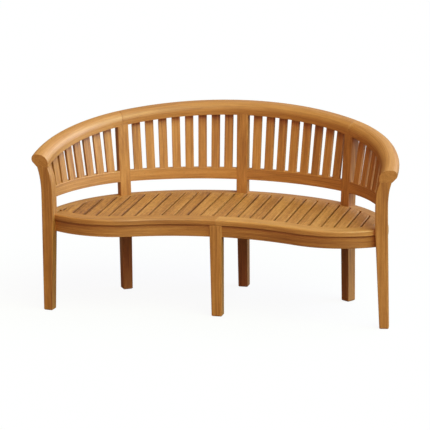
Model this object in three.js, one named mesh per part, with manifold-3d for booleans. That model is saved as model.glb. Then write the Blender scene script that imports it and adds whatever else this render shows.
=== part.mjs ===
// Curved teak garden bench for three people, in millimetres, +Z up, front towards -Y.
//
// Six legs stand on two plan lines. The back line is a half oval of arcs through the three back legs
// and the two front posts. The front line is a long double curve, hollow in the middle, and the short
// middle leg stands under it. Every curved rail is a straight moulding bent along one of these lines,
// so it is drawn once as a section and then moved, point by point, from straight to bent.

import * as THREE from 'three';
import { mergeVertices } from 'three/addons/utils/BufferGeometryUtils.js';
import Module from 'manifold-3d';

const wasm = await Module();
wasm.setup();

// Back line, from its crown behind the middle of the seat to the front posts
const crownSetback = 497;
const crownRadius = 988;
const shoulderRadius = 534;
const armRadius = 592;
const crownTurn = THREE.MathUtils.degToRad(27);
const shoulderTurn = THREE.MathUtils.degToRad(28);
const armTurn = THREE.MathUtils.degToRad(25.8);

// Front line: a hollow in the middle, and lobes that end on the posts' inner faces, set back from the
// posts' front faces
const hollowRadius = 985;
const hollowTurn = THREE.MathUtils.degToRad(21);
const lobeSetback = 19;

// Heights
const seatHeight = 428;
const lowerRailClear = 60;
const lowerRailHeight = seatHeight + lowerRailClear;
const crownHeight = 772;
const armHeight = 636;

// Fits and edges
const gap = 0.3;
const seam = gap / 2;
const ease = 3;
const smallEase = 1.5;
const overrun = 60;
const weld = 0.0005;
const stationPitch = 40;

// Legs
const legWidth = 49;
const legDepth = 45;
const legFootWidth = 43;
const legFootDepth = 43;
const legFront = -21.5;
const shoulderLegAlong = 526;
const middleLegWidth = 54;
const middleLegDepth = 46;
const middleLegFootWidth = 46;
const middleLegFootDepth = 43;
const footChamfer = 3;

// Front posts, measured across from the back line
const postDepth = 44;
const postFootDepth = 41;
const postSplay = THREE.MathUtils.degToRad(81.3);
const postInner = -41;
const postOuter = 12;
const postFootInner = -25;
const postFootOuter = 15;
const postSweepClear = 82;
const postSweepStart = seatHeight + postSweepClear;
const postSweepInner = 20;
const postSweepOuter = 17;

// Top rail section, from the lower edge of its inner face
const railUnderside = 54;
const railInnerRise = 18;
const railCrestFlat = 12;
const noseAcross = 56;
const noseHeight = 33;
const noseRadius = 22;
const railRoundness = 4;
const crownRailAcross = 9;
const armRailAcross = -24;

// How fast the curves that run up or along gather, one being a straight line
const railFallPower = 2;
const railLeanPower = 3;
const legLeanPower = 1.2;
const postSweepPower = 2.5;
const drawInPower = 3;
const curveStations = 8;

// Back panels
const lowerRailTall = 49;
const lowerRailThick = 24;
const lowerRailAcross = -17;
const lowerRailTilt = 5;
const slatWidth = 37;
const slatThick = 14;
const slatStep = 1.5;
const slatTopAcross = 22;
const crownSlatCount = 8;
const armSlatCount = 7;
const armSlatWidth = 35;
const armSlatSpace = 17;
const armLastSpace = 12;
const armSlatStart = 22.5;

// Seat
const boardThick = 25;
const boardWidth = 66;
const boardNose = 8;
const boardUnderNose = 3;
const rearStripWidth = 45;
const rearStripInner = -22;
const seatSlatsEachSide = 13;
const seatSlatGap = 7.4;
const endSlatWidth = 13.4;
const apronThick = 25;
const apronTall = 52;
const apronSetback = 8;
const rearApronInner = -9;
const bearerTall = 22;
const bearerWidth = 46;
const crossBearerWidth = 44;
const crossBearerTall = 48;

// Tenons
const tenonLong = 15;
const tenonInset = 6;
const topTenonTall = 24;
const topTenonWide = 30;
const topTenonThick = 20;
const slatTenon = 12;

const teak = {
  legs: { color: 0xa9692f, roughness: 0.62, metalness: 0 },
  rails: { color: 0xba8045, roughness: 0.6, metalness: 0 },
  slats: { color: 0xb4763b, roughness: 0.64, metalness: 0 },
  hidden: { color: 0x8f5a2b, roughness: 0.7, metalness: 0 },
};

// A plan line of arcs that starts in the middle of the bench and is mirrored about it. A point on it
// has a heading, turned clockwise from +X, and its across direction points away to the left of that.
function planLine(start, arcs) {
  return (along) => {
    const side = along < 0 ? -1 : 1;
    let rest = Math.abs(along);
    let heading = 0;
    let x = 0;
    let y = start;
    arcs.forEach((arc, index) => {
      const whole = arc.radius * Math.abs(arc.turn);
      const part = index === arcs.length - 1 ? rest : Math.min(rest, whole);
      const bend = arc.radius * Math.sign(arc.turn);
      const next = heading + part / bend;
      x += bend * (Math.sin(next) - Math.sin(heading));
      y += bend * (Math.cos(next) - Math.cos(heading));
      heading = next;
      rest -= part;
    });
    return { x: side * x, y, heading: side * heading };
  };
}

const backLine = planLine(crownSetback, [
  { radius: crownRadius, turn: crownTurn },
  { radius: shoulderRadius, turn: shoulderTurn },
  { radius: armRadius, turn: armTurn },
]);
const postAlong = crownRadius * crownTurn + shoulderRadius * shoulderTurn + armRadius * armTurn;
const railAlong = postAlong + postDepth / 2;

// The lobe is the one arc that runs on smoothly from the hollow's end and meets the post there
const hollow = { radius: hollowRadius, turn: hollowTurn };

function lobeToPost() {
  const start = planLine(0, [hollow])(hollowRadius * hollowTurn);
  const post = backLine(postAlong);
  const ahead = postDepth / 2 - lobeSetback;
  const x = post.x + postInner * Math.sin(postSplay) + ahead * Math.cos(postSplay) - start.x;
  const y = post.y + postInner * Math.cos(postSplay) - ahead * Math.sin(postSplay) - start.y;
  const onward = x * Math.cos(start.heading) - y * Math.sin(start.heading);
  const aside = x * Math.sin(start.heading) + y * Math.cos(start.heading);
  return { radius: (onward ** 2 + aside ** 2) / (2 * aside), turn: -2 * Math.atan2(aside, onward) };
}

// Front boards and rails are drawn on into the post by its own width, and sawn off there
const lobe = lobeToPost();
const frontLine = planLine(0, [hollow, lobe]);
const frontReach = hollowRadius * hollowTurn - lobe.radius * lobe.turn + postOuter - postInner;

function place(line, along, across, height) {
  const { x, y, heading } = line(along);
  return new THREE.Vector3(x + across * Math.sin(heading), y + across * Math.cos(heading), height);
}

// Where the top rail's inner lower edge runs: it sinks from the crown to the arms and leans in there
const railShare = (along) => Math.min(Math.abs(along) / railAlong, 1 + postDepth / railAlong);
const railHeight = (along) => crownHeight - (crownHeight - armHeight) * railShare(along) ** railFallPower;
const railLean = crownRailAcross - armRailAcross;
const railAcross = (along) => crownRailAcross - railLean * railShare(along) ** railLeanPower;

// Closed three.js geometry to solid, and back
function solid(geometry) {
  geometry.deleteAttribute('normal');
  geometry.deleteAttribute('uv');
  const welded = mergeVertices(geometry, weld);
  return new wasm.Manifold(new wasm.Mesh({
    numProp: 3,
    vertProperties: new Float32Array(welded.attributes.position.array),
    triVerts: new Uint32Array(welded.index.array),
  }));
}

function geometryOf(manifold) {
  const mesh = manifold.getMesh();
  const geometry = new THREE.BufferGeometry();
  geometry.setAttribute('position', new THREE.BufferAttribute(mesh.vertProperties, 3));
  geometry.setIndex(new THREE.BufferAttribute(mesh.triVerts, 1));
  geometry.computeVertexNormals();
  return geometry;
}

const subtractAll = (body, cutters) => cutters.reduce((rest, cutter) => rest.subtract(cutter), body);
const addAll = (body, parts) => parts.reduce((whole, part) => whole.add(part), body);

function movePoints(geometry, move) {
  const position = geometry.attributes.position;
  for (let i = 0; i < position.count; i += 1) {
    const moved = move(position.getX(i), position.getY(i), position.getZ(i));
    position.setXYZ(i, moved.x, moved.y, moved.z);
  }
  return geometry;
}

// Rectangle with its four corners cut off
function easedRectangle(left, bottom, right, top, corner) {
  const shape = new THREE.Shape();
  shape.moveTo(left + corner, bottom);
  shape.lineTo(right - corner, bottom);
  shape.lineTo(right, bottom + corner);
  shape.lineTo(right, top - corner);
  shape.lineTo(right - corner, top);
  shape.lineTo(left + corner, top);
  shape.lineTo(left, top - corner);
  shape.lineTo(left, bottom + corner);
  return shape;
}

// Rectangle with sharp corners, for tenons and their mortises
function plainRectangle(left, bottom, right, top) {
  return new THREE.Shape([
    new THREE.Vector2(left, bottom),
    new THREE.Vector2(right, bottom),
    new THREE.Vector2(right, top),
    new THREE.Vector2(left, top),
  ]);
}

const noDrift = () => ({ across: 0, up: 0 });

// A moulding from one place on a line to another: the section's x runs across the line and its y up.
// The drift moves the section's points across and up as the moulding goes along.
function moulding(line, section, from, to, drift = noDrift, curveSegments = 2) {
  const steps = Math.max(1, Math.round((to - from) / stationPitch));
  const straight = new THREE.ExtrudeGeometry(section, {
    depth: to - from, steps, bevelEnabled: false, curveSegments,
  });
  return solid(movePoints(straight, (x, y, z) => {
    const moved = drift(from + z, x, y);
    return place(line, from + z, x + moved.across, y + moved.up);
  }));
}

// A prism on a plan outline
function prism(outline, bottom, top) {
  const geometry = new THREE.ExtrudeGeometry(new THREE.Shape(outline), {
    depth: top - bottom, bevelEnabled: false,
  });
  return solid(geometry.translate(0, 0, bottom));
}

// Legs: an eased square section is drawn up through a list of heights, and at each height it takes
// the leg's own front, back and width there
function legSection() {
  const corner = ease / legWidth;
  return easedRectangle(0, -1 / 2, 1, 1 / 2, corner);
}

function legBody(leg, grown, more = { front: 0, back: 0, sides: 0 }) {
  const heights = leg.heights;
  const stem = new THREE.ExtrudeGeometry(legSection(), {
    depth: heights.length - 1, steps: heights.length - 1, bevelEnabled: false,
  });
  const { origin, outward, forward } = leg;
  return solid(movePoints(stem, (x, y, z) => {
    const height = heights[Math.round(z)];
    const chamfer = height <= 0 ? footChamfer : 0;
    const size = leg.sizeAt(Math.max(height, 0));
    const front = size.front + chamfer - grown - more.front;
    const back = size.back - chamfer + grown + more.back;
    const width = size.width - 2 * (chamfer - grown - more.sides);
    return origin.clone()
      .addScaledVector(outward, front + x * (back - front))
      .addScaledVector(forward, -y * width)
      .setZ(height);
  }));
}

const mix = THREE.MathUtils.lerp;
const rampTo = (value, from, to) => THREE.MathUtils.clamp((value - from) / (to - from), 0, 1);
const curvedHeights = (from, to) => Array.from(
  { length: curveStations },
  (_, i) => mix(from, to, (i + 1) / curveStations),
);

function backLeg(name, along) {
  const spot = backLine(along);
  const top = railHeight(along) + ease;
  return {
    name,
    along,
    origin: new THREE.Vector3(spot.x, spot.y, 0),
    outward: new THREE.Vector3(Math.sin(spot.heading), Math.cos(spot.heading), 0),
    forward: new THREE.Vector3(Math.cos(spot.heading), -Math.sin(spot.heading), 0),
    heights: [0, footChamfer, seatHeight, ...curvedHeights(seatHeight, top + ease)],
    sizeAt: (height) => {
      const down = 1 - rampTo(height, 0, seatHeight);
      const share = rampTo(height, seatHeight, railHeight(along)) ** legLeanPower;
      const front = mix(legFront, railAcross(along), share);
      return {
        front,
        back: front + mix(legDepth, legFootDepth, down),
        width: mix(legWidth, legFootWidth, down),
      };
    },
  };
}

function frontPost(name, side) {
  const spot = backLine(side * postAlong);
  const turn = side * postSplay;
  const top = railHeight(postAlong) + postDepth / 2;
  return {
    name,
    along: side * postAlong,
    origin: new THREE.Vector3(spot.x, spot.y, 0),
    outward: new THREE.Vector3(Math.sin(turn), Math.cos(turn), 0),
    forward: new THREE.Vector3(Math.cos(turn), -Math.sin(turn), 0),
    heights: [0, footChamfer, seatHeight, postSweepStart, ...curvedHeights(postSweepStart, top)],
    sizeAt: (height) => {
      const down = 1 - rampTo(height, 0, seatHeight);
      const sweep = rampTo(height, postSweepStart, armHeight) ** postSweepPower;
      return {
        front: mix(postInner, postFootInner, down) + postSweepInner * sweep,
        back: mix(postOuter, postFootOuter, down) + postSweepOuter * sweep,
        width: mix(postDepth, postFootDepth, down),
      };
    },
  };
}

function middleLeg(name) {
  return {
    name,
    along: 0,
    origin: new THREE.Vector3(0, 0, 0),
    outward: new THREE.Vector3(0, 1, 0),
    forward: new THREE.Vector3(1, 0, 0),
    heights: [0, footChamfer, seatHeight - boardThick - gap],
    sizeAt: (height) => {
      const down = 1 - rampTo(height, 0, seatHeight - boardThick);
      return {
        front: 0,
        back: mix(middleLegDepth, middleLegFootDepth, down),
        width: mix(middleLegWidth, middleLegFootWidth, down),
      };
    },
  };
}

const frontLeftPost = frontPost('front_left_post', -1);
const backLeftLeg = backLeg('back_left_leg', -shoulderLegAlong);
const backMiddleLeg = backLeg('back_middle_leg', 0);
const backRightLeg = backLeg('back_right_leg', shoulderLegAlong);
const frontRightPost = frontPost('front_right_post', 1);
const frontMiddleLeg = middleLeg('front_middle_leg');
const backRow = [frontLeftPost, backLeftLeg, backMiddleLeg, backRightLeg, frontRightPost];
const allLegs = [...backRow, frontMiddleLeg];
const grownLegs = new Map(allLegs.map((leg) => [leg, legBody(leg, gap)]));

// Rails stop at a leg's side face over their whole depth, and front aprons at a post's inner face
const throughDepth = { front: overrun, back: overrun, sides: 0 };
const beyondInside = { front: 0, back: 2 * overrun, sides: 2 * overrun };
const railStops = new Map(backRow.map((leg) => [leg, legBody(leg, gap, throughDepth)]));
const apronStop = (post) => legBody(post, gap, beyondInside);

// The half width of a leg along its line
const halfAlong = (leg) => leg.sizeAt(seatHeight).width / 2;

// Back panels: each is a curved lower rail with its slats, glued up as one comb
const lowerRailLean = (along, across, up) => ({
  across: lowerRailTilt * (up - lowerRailHeight) / lowerRailTall,
  up: 0,
});

function backSlat(along, width, grown) {
  const { x, y, heading } = backLine(along);
  const outward = new THREE.Vector3(Math.sin(heading), Math.cos(heading), 0);
  const forward = new THREE.Vector3(Math.cos(heading), -Math.sin(heading), 0);
  const overRail = lowerRailHeight + lowerRailTall;
  const bottom = overRail - slatTenon;
  const top = railHeight(along) + slatTenon + grown;
  const lowAcross = lowerRailAcross + lowerRailTilt + slatStep;
  const highAcross = railAcross(along) + slatTopAcross;
  const section = grown
    ? plainRectangle(-width / 2 - grown, -grown, width / 2 + grown, slatThick + grown)
    : easedRectangle(-width / 2, 0, width / 2, slatThick, smallEase);
  const stick = new THREE.ExtrudeGeometry(section, { depth: 1, bevelEnabled: false });
  return solid(movePoints(stick, (sx, sy, sz) => {
    const height = mix(bottom, top, sz);
    const share = (height - overRail) / (railHeight(along) - overRail);
    return new THREE.Vector3(x, y, height)
      .addScaledVector(forward, sx)
      .addScaledVector(outward, mix(lowAcross, highAcross, share) + sy);
  }));
}

// Between the middle and a shoulder leg the slats share the room evenly. In the arms they start from
// the shoulder leg, the last one stands nearer to its neighbour, and a wider space is left at the post.
function crownSlatPlaces(side) {
  const start = halfAlong(backMiddleLeg);
  const room = shoulderLegAlong - halfAlong(backRightLeg) - start;
  const pitch = (room + slatWidth) / (crownSlatCount + 1);
  return Array.from({ length: crownSlatCount }, (_, i) => side * (start - slatWidth / 2 + (i + 1) * pitch));
}

function armSlatPlaces(side) {
  const start = shoulderLegAlong + halfAlong(backRightLeg) + armSlatStart + armSlatWidth / 2;
  const pitch = armSlatWidth + armSlatSpace;
  const nearer = (i) => (i === armSlatCount - 1 ? armSlatSpace - armLastSpace : 0);
  return Array.from({ length: armSlatCount }, (_, i) => side * (start + i * pitch - nearer(i)));
}

// A rail's two tenons, or the mortises for them when grown
function endTenons(line, fromEdge, toEdge, inner, bottom, outer, top, grown, drift) {
  const section = plainRectangle(inner - grown, bottom - grown, outer + grown, top + grown);
  const reach = tenonLong + grown;
  return [
    moulding(line, section, fromEdge - reach, fromEdge + tenonLong, drift),
    moulding(line, section, toEdge - tenonLong, toEdge + reach, drift),
  ];
}

const mortises = new Map(allLegs.map((leg) => [leg, []]));

function lowerRailTenons(fromLeg, toLeg, grown) {
  return endTenons(
    backLine,
    fromLeg.along + halfAlong(fromLeg),
    toLeg.along - halfAlong(toLeg),
    lowerRailAcross + tenonInset,
    lowerRailHeight + tenonInset,
    lowerRailAcross + lowerRailThick - tenonInset,
    lowerRailHeight + lowerRailTall - tenonInset,
    grown,
    lowerRailLean,
  );
}

const slatMortises = [];

function backPanel(name, fromLeg, toLeg, places, width) {
  const section = easedRectangle(
    lowerRailAcross,
    lowerRailHeight,
    lowerRailAcross + lowerRailThick,
    lowerRailHeight + lowerRailTall,
    ease,
  );
  const rail = subtractAll(
    moulding(backLine, section, fromLeg.along, toLeg.along, lowerRailLean),
    [railStops.get(fromLeg), railStops.get(toLeg)],
  );
  places.forEach((along) => slatMortises.push(backSlat(along, width, gap)));
  const [fromMortise, toMortise] = lowerRailTenons(fromLeg, toLeg, gap);
  mortises.get(fromLeg).push(fromMortise);
  mortises.get(toLeg).push(toMortise);
  const body = addAll(rail, [
    ...lowerRailTenons(fromLeg, toLeg, 0),
    ...places.map((along) => backSlat(along, width, 0)),
  ]);
  return { name, body, finish: teak.slats };
}

const panels = [
  backPanel('back_panel_left_arm', frontLeftPost, backLeftLeg, armSlatPlaces(-1), armSlatWidth),
  backPanel('back_panel_left', backLeftLeg, backMiddleLeg, crownSlatPlaces(-1), slatWidth),
  backPanel('back_panel_right', backMiddleLeg, backRightLeg, crownSlatPlaces(1), slatWidth),
  backPanel('back_panel_right_arm', backRightLeg, frontRightPost, armSlatPlaces(1), armSlatWidth),
];

// Top rail in three lengths, with seams over the shoulder legs. Its section has a flat underside,
// an inner face that rolls over outwards, and a round nose that overhangs the back.
function topRailSection() {
  const shape = new THREE.Shape();
  const top = noseHeight + noseRadius;
  const crest = noseAcross - railCrestFlat;
  const toCorner = Math.atan2(-noseHeight, railUnderside - noseAcross);
  const underTurn = toCorner + Math.acos(noseRadius / Math.hypot(noseHeight, railUnderside - noseAcross));
  shape.moveTo(ease, 0);
  shape.lineTo(railUnderside, 0);
  shape.absarc(noseAcross, noseHeight, noseRadius, underTurn, Math.PI / 2, false);
  shape.absellipse(crest, railInnerRise, crest, top - railInnerRise, Math.PI / 2, Math.PI, false);
  shape.lineTo(0, ease);
  return shape;
}

const railDrift = (along) => ({ across: railAcross(along), up: railHeight(along) });

const railEnd = railAlong + postDepth;
const railBlank = moulding(backLine, topRailSection(), -railEnd, railEnd, railDrift, railRoundness);

// Legs stop a gap below the rail's underside, and nothing of them rises beside it
function legStopSection() {
  return new THREE.Shape([
    new THREE.Vector2(-overrun, -gap),
    new THREE.Vector2(ease, 0),
    new THREE.Vector2(railUnderside, 0),
    new THREE.Vector2(railUnderside + overrun, -gap),
    new THREE.Vector2(railUnderside + overrun, 2 * overrun),
    new THREE.Vector2(-overrun, 2 * overrun),
  ]);
}

const legStop = moulding(backLine, legStopSection(), -railEnd, railEnd, railDrift).translate([0, 0, -gap]);

// A leg's tenon into the top rail
function topTenon(leg, grown) {
  const inner = (railUnderside - topTenonThick) / 2 - legEntry(leg);
  const half = topTenonWide / 2 + grown;
  return moulding(
    backLine,
    plainRectangle(inner - grown, -topTenonTall / 2, inner + topTenonThick + grown, topTenonTall + grown),
    leg.along - half,
    leg.along + half,
    railDrift,
  );
}

// The legs are a little shallower than the rail's underside, so the tenon sits in their middle
function legEntry(leg) {
  const top = leg.sizeAt(railHeight(leg.along));
  return (railUnderside - (top.back - top.front)) / 2;
}

// Everything in front of the posts' front faces, where the arms are sawn off flush
function frontOfPost(post) {
  const near = post.sizeAt(armHeight).width / 2;
  const side = Math.sign(post.along);
  const corner = (across, ahead) => post.origin.clone()
    .addScaledVector(post.outward, across)
    .addScaledVector(post.forward, side * ahead);
  const outline = [
    corner(-2 * overrun, near),
    corner(2 * overrun, near),
    corner(2 * overrun, near + 2 * overrun),
    corner(-2 * overrun, near + 2 * overrun),
  ];
  const ordered = side > 0 ? outline : outline.reverse();
  return prism(ordered.map((p) => new THREE.Vector2(p.x, p.y)), armHeight - overrun, crownHeight);
}

// A saw cut across the rail, as wide as the gap, over each shoulder leg
function seamCut(along) {
  const section = plainRectangle(-overrun, -overrun, railUnderside + overrun, 2 * overrun);
  return moulding(backLine, section, along - gap / 2, along + gap / 2, railDrift);
}

const railCuts = [
  ...slatMortises,
  ...backRow.map((leg) => topTenon(leg, gap)),
  ...[backLeftLeg, backRightLeg].map((leg) => seamCut(leg.along)),
  ...[frontLeftPost, frontRightPost].map(frontOfPost),
];
const middleX = (body) => (body.boundingBox().min[0] + body.boundingBox().max[0]) / 2;
const railNames = ['top_rail_left_arm', 'top_rail_crest', 'top_rail_right_arm'];
const topRails = subtractAll(railBlank, railCuts).decompose()
  .sort((one, other) => middleX(one) - middleX(other))
  .map((body, i) => ({ name: railNames[i], body, finish: teak.rails }));

// Seat frame levels
const underBoard = seatHeight - boardThick - gap;
const apronBottom = underBoard - apronTall;

// A bearer from the middle front leg to the middle back leg carries the slats in the middle
function crossBearer(grown) {
  const front = frontMiddleLeg.sizeAt(seatHeight).back;
  const back = crownSetback + legFront;
  const half = crossBearerWidth / 2 + grown;
  const bottom = underBoard - crossBearerTall - grown;
  const section = easedRectangle(-half, bottom, half, underBoard + grown, smallEase);
  const clear = gap - grown;
  const beam = new THREE.ExtrudeGeometry(section, { depth: back - front - 2 * clear, bevelEnabled: false });
  return solid(beam.rotateX(Math.PI / 2).translate(0, back - clear, 0));
}

function crossBearerTenons(grown) {
  const front = frontMiddleLeg.sizeAt(seatHeight).back;
  const back = crownSetback + legFront;
  const half = crossBearerWidth / 2 - tenonInset + grown;
  const bottom = underBoard - crossBearerTall + tenonInset - grown;
  const top = underBoard - tenonInset + grown;
  const block = (from, to) => prism([
    new THREE.Vector2(-half, from),
    new THREE.Vector2(half, from),
    new THREE.Vector2(half, to),
    new THREE.Vector2(-half, to),
  ], bottom, top);
  return [
    block(front - tenonLong - grown, front + tenonLong),
    block(back - tenonLong, back + tenonLong + grown),
  ];
}

const [frontBearerMortise, backBearerMortise] = crossBearerTenons(gap);
mortises.get(frontMiddleLeg).push(frontBearerMortise);
mortises.get(backMiddleLeg).push(backBearerMortise);
const centreBearer = {
  name: 'seat_centre_bearer',
  body: addAll(crossBearer(0), crossBearerTenons(0)),
  finish: teak.hidden,
};
const grownCentreBearer = crossBearer(gap);

// Behind, the seat frame is as wide as the back legs, and draws in to the narrower posts
function drawIn(outer) {
  const most = outer - postOuter;
  return (along, across) => ({
    across: across > 0 ? -most * rampTo(Math.abs(along), shoulderLegAlong, postAlong) ** drawInPower : 0,
    up: 0,
  });
}

// Rear aprons stand between the back legs, under the strips that close the seat behind
function rearApronTenons(fromLeg, toLeg, grown) {
  return endTenons(
    backLine,
    fromLeg.along + halfAlong(fromLeg),
    toLeg.along - halfAlong(toLeg),
    rearApronInner + tenonInset,
    apronBottom + tenonInset,
    rearApronInner + apronThick - tenonInset,
    underBoard - 2 * tenonInset,
    grown,
  );
}

function rearApron(name, fromLeg, toLeg) {
  const section = easedRectangle(
    rearApronInner,
    apronBottom,
    rearApronInner + apronThick,
    underBoard,
    smallEase,
  );
  const board = subtractAll(
    moulding(backLine, section, fromLeg.along, toLeg.along, drawIn(rearApronInner + apronThick)),
    [railStops.get(fromLeg), railStops.get(toLeg)],
  );
  const [fromMortise, toMortise] = rearApronTenons(fromLeg, toLeg, gap);
  mortises.get(fromLeg).push(fromMortise);
  mortises.get(toLeg).push(toMortise);
  return { name, body: addAll(board, rearApronTenons(fromLeg, toLeg, 0)), finish: teak.hidden };
}

function rearStrip(name, fromLeg, toLeg) {
  const section = easedRectangle(
    rearStripInner,
    seatHeight - boardThick,
    rearStripInner + rearStripWidth,
    seatHeight,
    smallEase,
  );
  const body = subtractAll(
    moulding(backLine, section, fromLeg.along, toLeg.along, drawIn(rearStripInner + rearStripWidth)),
    [railStops.get(fromLeg), railStops.get(toLeg)],
  );
  return { name, body, finish: teak.rails };
}

// Bearers run inside the aprons, under the ends of the seat slats
const frontApronZone = moulding(
  frontLine,
  plainRectangle(-2 * overrun, apronBottom - overrun, apronSetback + apronThick + gap, seatHeight),
  -frontReach,
  frontReach,
);

function rearBearer(name, fromLeg, toLeg) {
  const outer = rearApronInner - gap;
  const section = easedRectangle(
    outer - bearerWidth,
    underBoard - bearerTall,
    outer,
    underBoard,
    smallEase,
  );
  const body = subtractAll(
    moulding(backLine, section, fromLeg.along + seam, toLeg.along - seam),
    [railStops.get(fromLeg), railStops.get(toLeg), grownCentreBearer, frontApronZone],
  );
  return { name, body, finish: teak.hidden };
}

// Front boards, aprons and bearers follow the front line
function frontBoardSection() {
  const bottom = seatHeight - boardThick;
  const shape = new THREE.Shape();
  shape.moveTo(boardWidth - smallEase, bottom);
  shape.lineTo(boardWidth, bottom + smallEase);
  shape.lineTo(boardWidth, seatHeight - smallEase);
  shape.lineTo(boardWidth - smallEase, seatHeight);
  shape.lineTo(boardNose, seatHeight);
  shape.absarc(boardNose, seatHeight - boardNose, boardNose, Math.PI / 2, Math.PI, false);
  shape.lineTo(0, bottom + boardUnderNose);
  shape.lineTo(boardUnderNose, bottom);
  return shape;
}

const seatBackZone = moulding(
  backLine,
  plainRectangle(rearStripInner - gap, seatHeight - boardThick - overrun, overrun, seatHeight + overrun),
  -postAlong,
  postAlong,
);
const posts = [frontLeftPost, frontRightPost];
const grownPosts = posts.map((post) => grownLegs.get(post));
const halfRange = (side, reach) => (side < 0 ? [-reach, -seam] : [seam, reach]);

function frontBoard(name, side) {
  const [from, to] = halfRange(side, frontReach);
  const body = subtractAll(
    moulding(frontLine, frontBoardSection(), from, to),
    [...grownPosts, seatBackZone],
  );
  return { name, body: keepLargest(body), finish: teak.rails };
}

function keepLargest(body) {
  return body.decompose().reduce((best, piece) => (piece.volume() > best.volume() ? piece : best));
}

function frontApron(name, side) {
  const post = side < 0 ? frontLeftPost : frontRightPost;
  const [from, to] = halfRange(side, frontReach);
  const inner = apronSetback + apronThick;
  const section = easedRectangle(apronSetback, apronBottom, inner, underBoard, smallEase);
  const shorter = plainRectangle(
    apronSetback + tenonInset,
    apronBottom + tenonInset,
    apronSetback + apronThick - tenonInset,
    underBoard - 2 * tenonInset,
  );
  const mortise = plainRectangle(
    apronSetback + tenonInset - gap,
    apronBottom + tenonInset - gap,
    apronSetback + apronThick - tenonInset + gap,
    underBoard - 2 * tenonInset + gap,
  );
  const whole = moulding(frontLine, section, from, to);
  const board = keepLargest(subtractAll(whole, [apronStop(post), grownLegs.get(frontMiddleLeg)]));
  const core = (shape, grown) => subtractAll(moulding(frontLine, shape, from, to), [
    legBody(post, -tenonLong - grown, beyondInside),
    legBody(frontMiddleLeg, -tenonLong - grown),
  ]);
  mortises.get(post).push(keepLargest(core(mortise, gap)));
  mortises.get(frontMiddleLeg).push(keepLargest(core(mortise, gap)));
  return { name, body: board.add(keepLargest(core(shorter, 0))), finish: teak.rails };
}

function frontBearer(name, side) {
  const [from, to] = halfRange(side, frontReach);
  const inner = apronSetback + apronThick + gap;
  const bottom = underBoard - bearerTall;
  const section = easedRectangle(inner, bottom, inner + bearerWidth, underBoard, smallEase);
  const rearSpace = moulding(
    backLine,
    plainRectangle(rearApronInner - bearerWidth - 2 * gap, apronBottom, overrun, seatHeight),
    -postAlong,
    postAlong,
  );
  const body = subtractAll(
    moulding(frontLine, section, from, to),
    [...grownPosts, grownLegs.get(frontMiddleLeg), grownCentreBearer, rearSpace],
  );
  return { name, body: keepLargest(body), finish: teak.hidden };
}

const panelLegs = [
  ['left_arm', frontLeftPost, backLeftLeg],
  ['left', backLeftLeg, backMiddleLeg],
  ['right', backMiddleLeg, backRightLeg],
  ['right_arm', backRightLeg, frontRightPost],
];
const sides = [['left', -1], ['right', 1]];
const seatFrame = [
  ...panelLegs.map(([where, from, to]) => rearApron(`rear_apron_${where}`, from, to)),
  ...panelLegs.map(([where, from, to]) => rearStrip(`rear_seat_strip_${where}`, from, to)),
  ...panelLegs.map(([where, from, to]) => rearBearer(`rear_slat_bearer_${where}`, from, to)),
  ...sides.map(([where, side]) => frontApron(`front_apron_${where}`, side)),
  ...sides.map(([where, side]) => frontBoard(`front_seat_board_${where}`, side)),
  ...sides.map(([where, side]) => frontBearer(`front_slat_bearer_${where}`, side)),
  centreBearer,
];

// Seat slats run from front to back, share the width of the seat evenly but for the narrow end ones,
// and are sawn off to the curves of the boards round them
function linePoints(line, across, reach) {
  const count = Math.round(reach / stationPitch);
  return Array.from({ length: 2 * count + 1 }, (_, i) => {
    const p = place(line, reach * (i - count) / count, across, 0);
    return new THREE.Vector2(p.x, p.y);
  });
}

function seatField(line, across, reach, closingY) {
  const edge = linePoints(line, across, reach);
  const last = edge[edge.length - 1];
  const outline = [...edge, new THREE.Vector2(last.x, closingY), new THREE.Vector2(-last.x, closingY)];
  if (closingY < last.y) outline.reverse();
  return prism(outline, seatHeight - boardThick - overrun, seatHeight + overrun);
}

const slatField = subtractAll(
  seatField(backLine, rearStripInner - gap, postAlong, -crownSetback)
    .intersect(seatField(frontLine, boardWidth + gap, frontReach, crownSetback)),
  [...grownLegs.values()],
);
const endSlatInner = slatField.boundingBox().max[0] - endSlatWidth;
const seatSlatPitch = (endSlatInner - seatSlatGap / 2) / (seatSlatsEachSide - 1 / 2);
const seatSlatWidth = seatSlatPitch - seatSlatGap;

function seatSlat(index) {
  const half = seatSlatWidth / 2;
  const section = easedRectangle(-half, seatHeight - boardThick, half, seatHeight, smallEase);
  const plank = new THREE.ExtrudeGeometry(section, { depth: 2 * crownSetback, bevelEnabled: false });
  plank.rotateX(Math.PI / 2).translate(index * seatSlatPitch, crownSetback, 0);
  const side = index < 0 ? 'left' : 'right';
  const name = index === 0 ? 'seat_slat_middle' : `seat_slat_${side}_${Math.abs(index)}`;
  return { name, body: keepLargest(solid(plank).intersect(slatField)), finish: teak.slats };
}

const seatSlats = Array.from(
  { length: 2 * seatSlatsEachSide + 1 },
  (_, i) => seatSlat(i - seatSlatsEachSide),
);

// Legs last, with the tenons for the top rail and the mortises that the rails have asked for
function finishedLeg(leg) {
  const tall = leg !== frontMiddleLeg;
  const cuts = [...(tall ? [legStop] : []), ...mortises.get(leg)];
  const stem = keepLargest(subtractAll(legBody(leg, 0), cuts));
  return { name: leg.name, body: tall ? stem.add(topTenon(leg, 0)) : stem, finish: teak.legs };
}

const bench = new THREE.Group();
bench.name = 'teak_bench';
const pieces = [...allLegs.map(finishedLeg), ...topRails, ...panels, ...seatFrame, ...seatSlats];
for (const piece of pieces) {
  const mesh = new THREE.Mesh(geometryOf(piece.body), new THREE.MeshStandardMaterial(piece.finish));
  mesh.name = piece.name;
  bench.add(mesh);
}

// The origin is under the middle of the bench, on the ground
const extent = new THREE.Box3().setFromObject(bench);
bench.position.y = -(extent.min.y + extent.max.y) / 2;

export default bench;
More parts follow.
